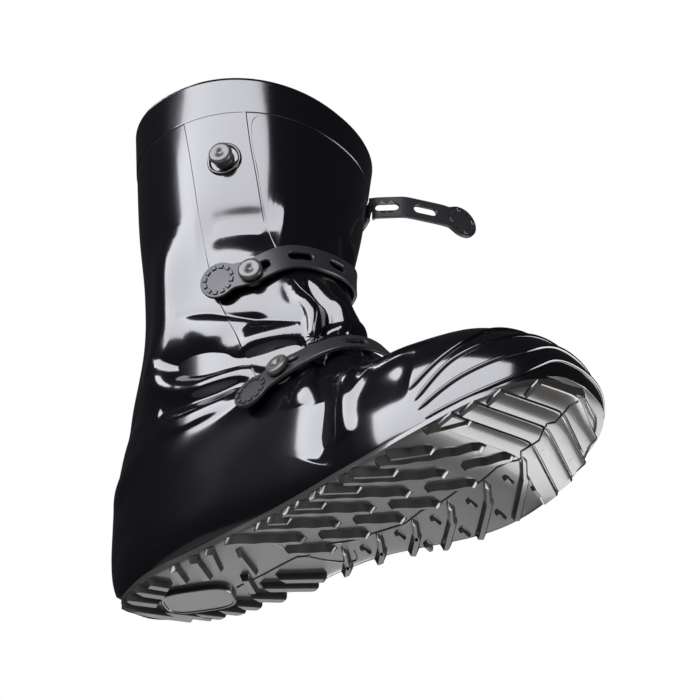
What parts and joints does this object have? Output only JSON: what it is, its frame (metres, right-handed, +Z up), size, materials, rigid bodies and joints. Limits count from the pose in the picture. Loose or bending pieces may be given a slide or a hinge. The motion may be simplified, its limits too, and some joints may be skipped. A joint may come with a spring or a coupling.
{
  "type": "rubber overboot",
  "caption": "Pull-on rubber overboot for the right foot, mid-calf high, with a lugged sole, a folded gusset and slotted straps that button across the front.",
  "frame": {"origin": "centre of the flat heel pad, on the ground", "axes": "+X to the toe, +Y to the inner (medial) side of the foot, +Z up the leg"},
  "size_m": [0.3289, 0.1962, 0.3273],
  "materials": {
    "black_rubber": "glossy black moulded latex rubber",
    "tread_rubber": "satin black-brown tread rubber",
    "button_rubber": "satin hard rubber",
    "insole_foam": "matt grey felt"
  },
  "bodies": {
    "boot": {"upper": "black_rubber", "outsole": "tread_rubber", "insole": "insole_foam", "collar_band": "black_rubber", "button_placket": "black_rubber", "gusset_panel": "black_rubber", "toe_ribs": "black_rubber", "rear_pull_lug": "black_rubber", "button_top": "button_rubber", "button_middle": "button_rubber", "button_lower": "button_rubber", "washer_top": "black_rubber", "washer_middle": "black_rubber", "washer_lower": "black_rubber", "strap_root_top": "black_rubber", "strap_root_middle": "black_rubber", "strap_root_lower": "black_rubber", "strap_middle_web": "black_rubber", "strap_lower_web": "black_rubber"},
    "strap_top_inner": {"strap_top_link_1": "black_rubber"},
    "strap_top_outer": {"strap_top_link_2": "black_rubber"},
    "strap_top_end": {"strap_top_tab": "black_rubber"},
    "middle_tab": {"strap_middle_tab": "black_rubber"},
    "lower_tab": {"strap_lower_tab": "black_rubber"}
  },
  "joints": [
    {"name": "top_strap_swing", "type": "hinge", "parent": "boot", "child": "strap_top_inner", "pos_m": [0.094, 0.054, 0.279], "axis": [0, 0, 1], "range_deg": [-65, 30], "stiffness_Nm_per_rad": 0.02},
    {"name": "top_strap_curl_inner", "type": "hinge", "parent": "strap_top_inner", "child": "strap_top_outer", "pos_m": [0.11212, 0.06816, 0.279], "axis": [0, 0, 1], "range_deg": [-25, 25], "stiffness_Nm_per_rad": 0.01},
    {"name": "top_strap_curl_outer", "type": "hinge", "parent": "strap_top_outer", "child": "strap_top_end", "pos_m": [0.12612, 0.09241, 0.279], "axis": [0, 0, 1], "range_deg": [-25, 25], "stiffness_Nm_per_rad": 0.01},
    {"name": "middle_tab_lift", "type": "hinge", "parent": "boot", "child": "middle_tab", "pos_m": [0.0777, -0.05476, 0.17084], "axis": [-0.0022, -0.0925, 0.9957], "range_deg": [0, 60], "stiffness_Nm_per_rad": 0.02},
    {"name": "lower_tab_lift", "type": "hinge", "parent": "boot", "child": "lower_tab", "pos_m": [0.09572, -0.0471, 0.09259], "axis": [-0.4546, 0.2228, 0.8624], "range_deg": [0, 60], "stiffness_Nm_per_rad": 0.02}
  ],
  "couplings": [
    {"joint": "top_strap_curl_inner", "follows": "top_strap_swing", "ratio": 0.3},
    {"joint": "top_strap_curl_outer", "follows": "top_strap_swing", "ratio": 0.3}
  ]
}
